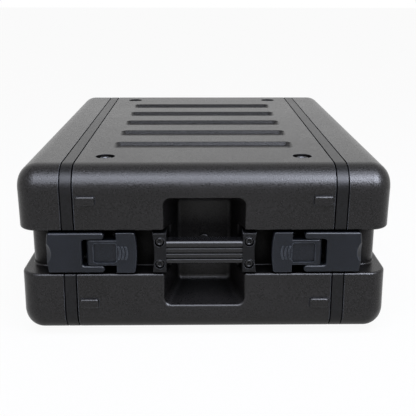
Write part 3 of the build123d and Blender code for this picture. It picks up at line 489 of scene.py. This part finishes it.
slate_nylon = finish(
    "slate_nylon", SLATE, SLATE_RIM_WEAR_AND_HIGHLIGHT, pebble=1700.0, pebble_height=0.00007,
    roughness=(0.28, 0.36), specular=0.2, rim=0.0013, shelter=0.02, shade=0.4)
for corner in corners:
    dress(slate_nylon, f"{corner}_latch_lever", f"{corner}_latch_arm")

# The studio floor. A seamless sheet of white paper, which shows nearly white to the camera and in
# reflections, and keeps a soft shadow under the case.
FLOOR_HALF = 14.0
FLOOR_WHITE = (0.9, 0.9, 0.9, 1.0)
FLOOR_PALER = (0.93, 0.93, 0.93, 1.0)
FLOOR_MOTTLE = 3.0
FLOOR_ROUGHNESS = 0.8
FLOOR_GLOW = 0.94
WHITE = (1.0, 1.0, 1.0, 1.0)

floor_paper = bpy.data.materials.new("studio_floor")
floor_paper.use_nodes = True
tree = floor_paper.node_tree
shader = tree.nodes["Principled BSDF"]
mottle = add(tree, "ShaderNodeTexNoise", {"Vector": object_place(tree), "Scale": FLOOR_MOTTLE})
paper = tinted(tree, mottle.outputs["Fac"], FLOOR_WHITE, FLOOR_PALER)
tree.links.new(paper, shader.inputs["Base Color"])
shader.inputs["Roughness"].default_value = FLOOR_ROUGHNESS
glow = add(tree, "ShaderNodeEmission", {"Color": WHITE})
path = add(tree, "ShaderNodeLightPath").outputs
mirrored = reckoned(tree, "MAXIMUM", path["Is Glossy Ray"], path["Is Transmission Ray"])
seen = reckoned(tree, "MAXIMUM", path["Is Camera Ray"], mirrored)
share = reckoned(tree, "MULTIPLY", seen, FLOOR_GLOW)
blend = add(tree, "ShaderNodeMixShader", {0: share, 1: shader.outputs[0], 2: glow.outputs[0]})
tree.links.new(blend.outputs[0], tree.nodes["Material Output"].inputs["Surface"])

sheet = bpy.data.meshes.new("studio_floor")
edges = (-FLOOR_HALF, FLOOR_HALF)
sheet.from_pydata([(x, y, 0.0) for x in edges for y in edges], [], [(0, 2, 3, 1)])
sheet.materials.append(floor_paper)
floor = bpy.data.objects.new("studio_floor", sheet)
bpy.context.scene.collection.objects.link(floor)

# The studio air. White behind the case, weak as a light on it, and in reflections bright round
# the horizon and a little darker overhead.
AIR_LIGHT = 0.2
AIR_HORIZON = 1.0
AIR_OVERHEAD = 0.75
AIR_DARKENS_FROM = 0.6
AIR_DARKENS_TO = 0.85

world = bpy.data.worlds.new("studio_air")
bpy.context.scene.world = world
world.use_nodes = True
air = world.node_tree
path = add(air, "ShaderNodeLightPath").outputs
direct = reckoned(air, "MAXIMUM", path["Is Camera Ray"], path["Is Transmission Ray"])
level = add(air, "ShaderNodeSeparateXYZ", {0: add(air, "ShaderNodeTexCoord").outputs["Generated"]})
surround = add(air, "ShaderNodeMapRange", {
    "Value": level.outputs["Z"], "From Min": AIR_DARKENS_FROM, "From Max": AIR_DARKENS_TO,
    "To Min": AIR_HORIZON, "To Max": AIR_OVERHEAD}, interpolation_type="SMOOTHSTEP").outputs[0]
given_off = mixed(air, path["Is Glossy Ray"], AIR_LIGHT, surround)
backdrop = air.nodes["Background"].inputs
air.links.new(mixed(air, direct, given_off, 1.0), backdrop["Strength"])
backdrop["Color"].default_value = WHITE

# The lamps. A broad soft box above and in front lights the case. Two more, a wide one lower down
# and a smaller one on the right, give only sheen: the long pale highlight on the rounded top edge.
LAMP_AIM = (0.0, -0.2, 0.15)
LAMP_COLOUR = (0.82, 0.86, 1.0)


def soft_box(name, place, width, height, power, sheen_only=False):
    """A rectangular lamp with an even face, turned towards the case."""
    lamp = bpy.data.lights.new(name, "AREA")
    lamp.shape = "RECTANGLE"
    lamp.size = width
    lamp.size_y = height
    lamp.energy = power
    lamp.color = LAMP_COLOUR
    stand = bpy.data.objects.new(name, lamp)
    stand.location = place
    stand.rotation_euler = (Vector(LAMP_AIM) - Vector(place)).to_track_quat("-Z", "Y").to_euler()
    stand.visible_diffuse = not sheen_only
    bpy.context.scene.collection.objects.link(stand)


soft_box("soft_box", place=(0.15, -0.92, 1.78), width=2.1, height=0.9, power=36.0)
soft_box("sheen_box", place=(0.15, -1.47, 1.42), width=2.3, height=1.1, power=80.0, sheen_only=True)
soft_box("side_box", place=(0.98, -1.45, 1.3), width=0.9, height=0.9, power=58.0, sheen_only=True)

# The camera stands where the photograph's perspective puts it, in front of the near handle and a
# little above the case.
CAMERA_PLACE = (-0.0081, -1.0966, 0.4048)
CAMERA_PITCH = 16.74
CAMERA_YAW = 0.86
CAMERA_ROLL = 0.09
CAMERA_LENS = 63.79
CAMERA_SENSOR = 36.0

camera_data = bpy.data.cameras.new("camera")
camera_data.lens = CAMERA_LENS
camera_data.sensor_width = CAMERA_SENSOR
camera = bpy.data.objects.new("camera", camera_data)
aim = Matrix.Rotation(math.radians(-CAMERA_YAW), 4, "Z")
aim @= Matrix.Rotation(math.radians(90.0 - CAMERA_PITCH), 4, "X")
aim @= Matrix.Rotation(math.radians(CAMERA_ROLL), 4, "Z")
camera.matrix_world = Matrix.Translation(CAMERA_PLACE) @ aim
bpy.context.scene.collection.objects.link(camera)
bpy.context.scene.camera = camera
bpy.context.scene.view_settings.view_transform = "Standard"
